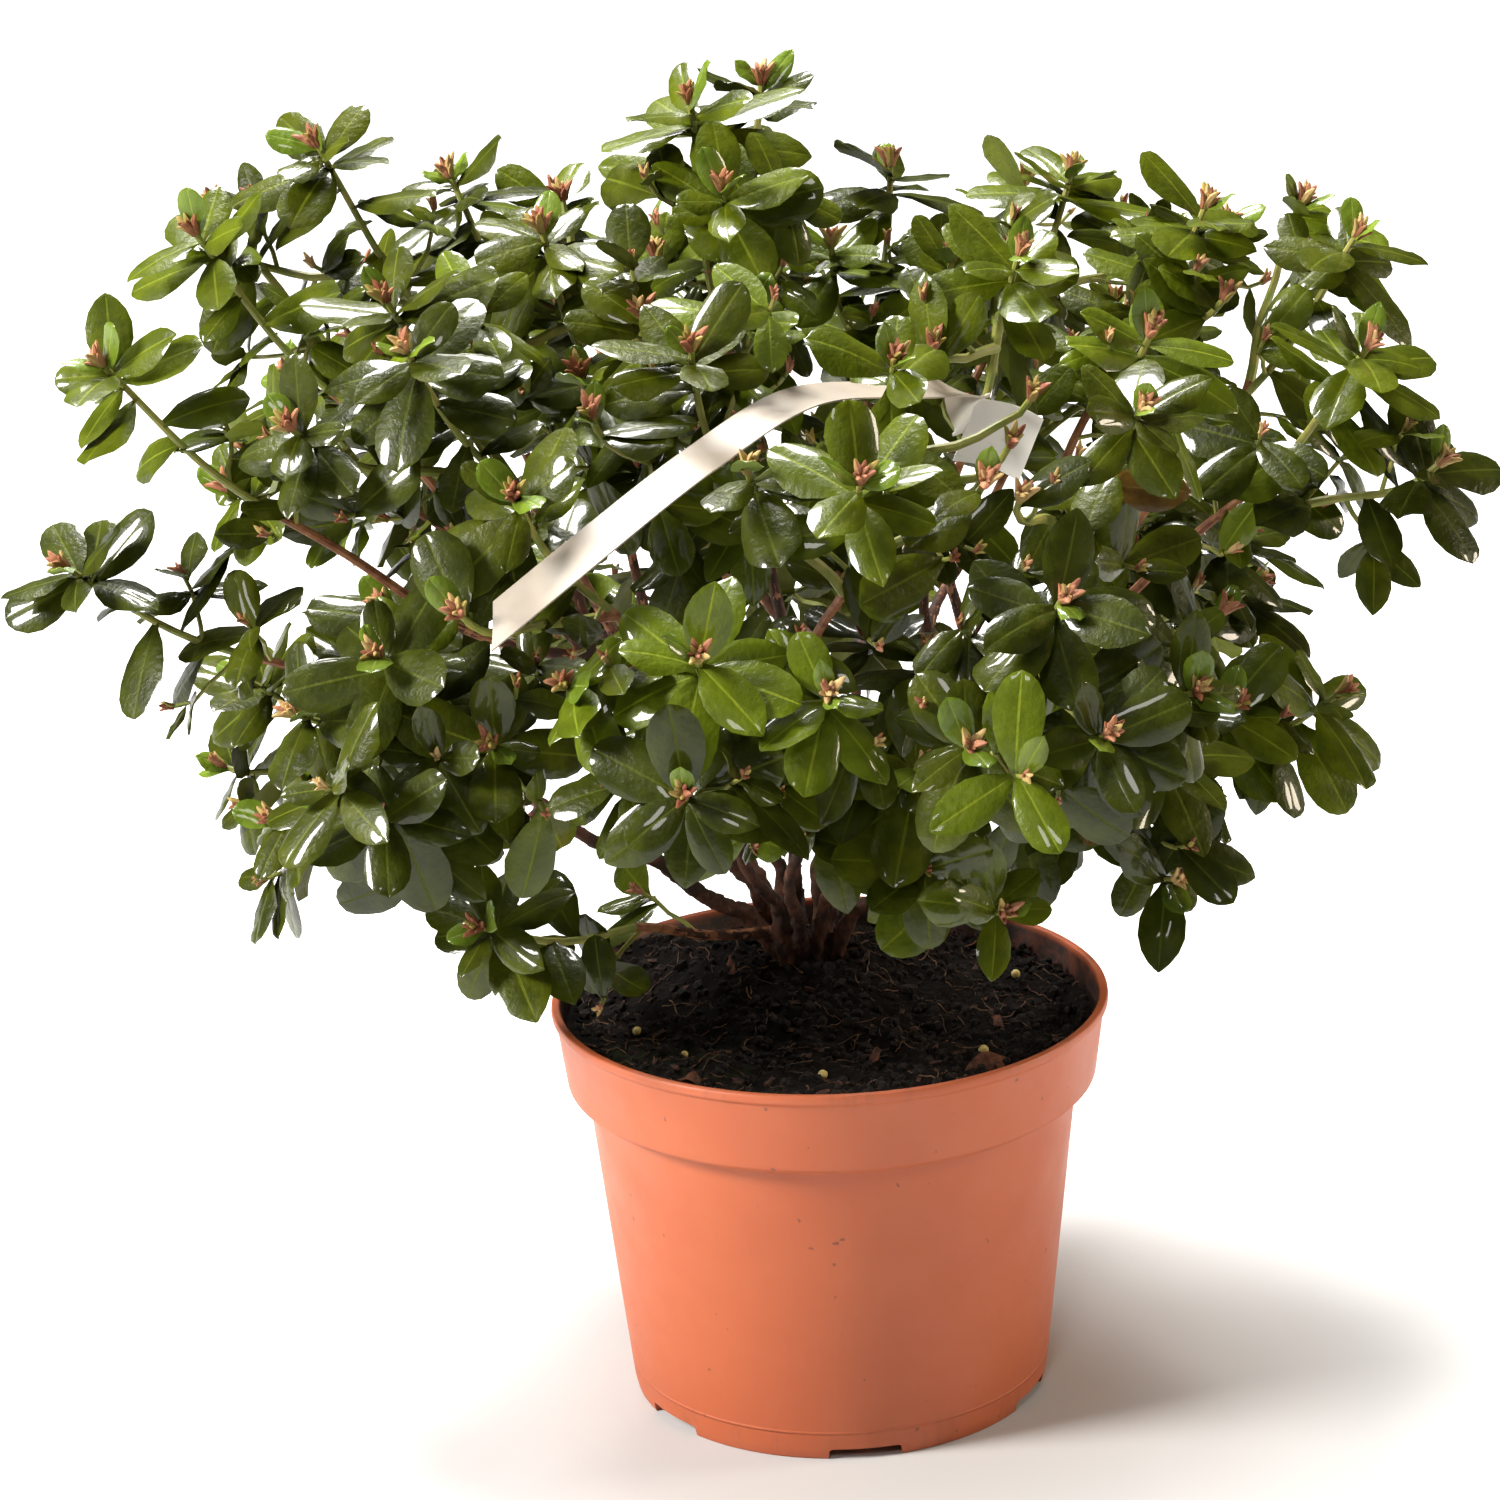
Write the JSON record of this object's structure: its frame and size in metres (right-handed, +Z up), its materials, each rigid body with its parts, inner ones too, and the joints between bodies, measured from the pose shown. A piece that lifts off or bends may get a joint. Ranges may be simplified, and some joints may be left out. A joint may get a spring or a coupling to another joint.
{
  "type": "azalea shrub",
  "caption": "Evergreen azalea shrub with a low spreading leafy crown on short branching stems, planted in a round tapered plastic nursery pot, with a blank loop label.",
  "frame": {"origin": "middle of the pot's underside, on the ground that it stands on", "axes": "+Z up, +X to the right of the plant's best side, +Y towards its back"},
  "size_m": [0.4387, 0.4313, 0.4045],
  "materials": {
    "pot_plastic": "terracotta orange plastic, satin",
    "peat": null,
    "bark": "reddish brown bark, matt",
    "foliage": null,
    "label_plastic": "white plastic strip, blank, satin"
  },
  "bodies": {
    "root": {"bough_core_left": "bark", "bough_core_right": "bark", "bough_front": "bark", "bough_front_left": "bark", "bough_front_right": "bark", "bough_left_high": "bark", "bough_left_low": "bark", "bough_rear": "bark", "bough_rear_left": "bark", "bough_rear_right": "bark", "bough_right_high": "bark", "bough_right_low": "bark", "foliage_front_crest": "foliage", "foliage_front_face": "foliage", "foliage_front_left_crest": "foliage", "foliage_front_left_face": "foliage", "foliage_front_left_skirt": "foliage", "foliage_front_right_crest": "foliage", "foliage_front_right_face": "foliage", "foliage_front_skirt": "foliage", "foliage_left_crest": "foliage", "foliage_left_middle": "foliage", "foliage_left_reach": "foliage", "foliage_left_shoulder": "foliage", "foliage_left_skirt": "foliage", "foliage_left_tip": "foliage", "foliage_low_shoot": "foliage", "foliage_rear_crest": "foliage", "foliage_rear_face": "foliage", "foliage_rear_left_crest": "foliage", "foliage_rear_left_face": "foliage", "foliage_rear_left_skirt": "foliage", "foliage_rear_right_crest": "foliage", "foliage_rear_right_face": "foliage", "foliage_rear_right_skirt": "foliage", "foliage_rear_skirt": "foliage", "foliage_right_crest": "foliage", "foliage_right_middle": "foliage", "foliage_right_reach": "foliage", "foliage_right_shoulder": "foliage", "foliage_right_skirt": "foliage", "foliage_right_tip": "foliage", "foliage_top_back": "foliage", "foliage_top_front": "foliage", "foliage_top_front_right": "foliage", "foliage_top_leader": "foliage", "foliage_top_left": "foliage", "foliage_top_right": "foliage", "label": "label_plastic", "pot": "pot_plastic", "root_ball": "peat", "trunk": "bark"}
  },
  "joints": []
}
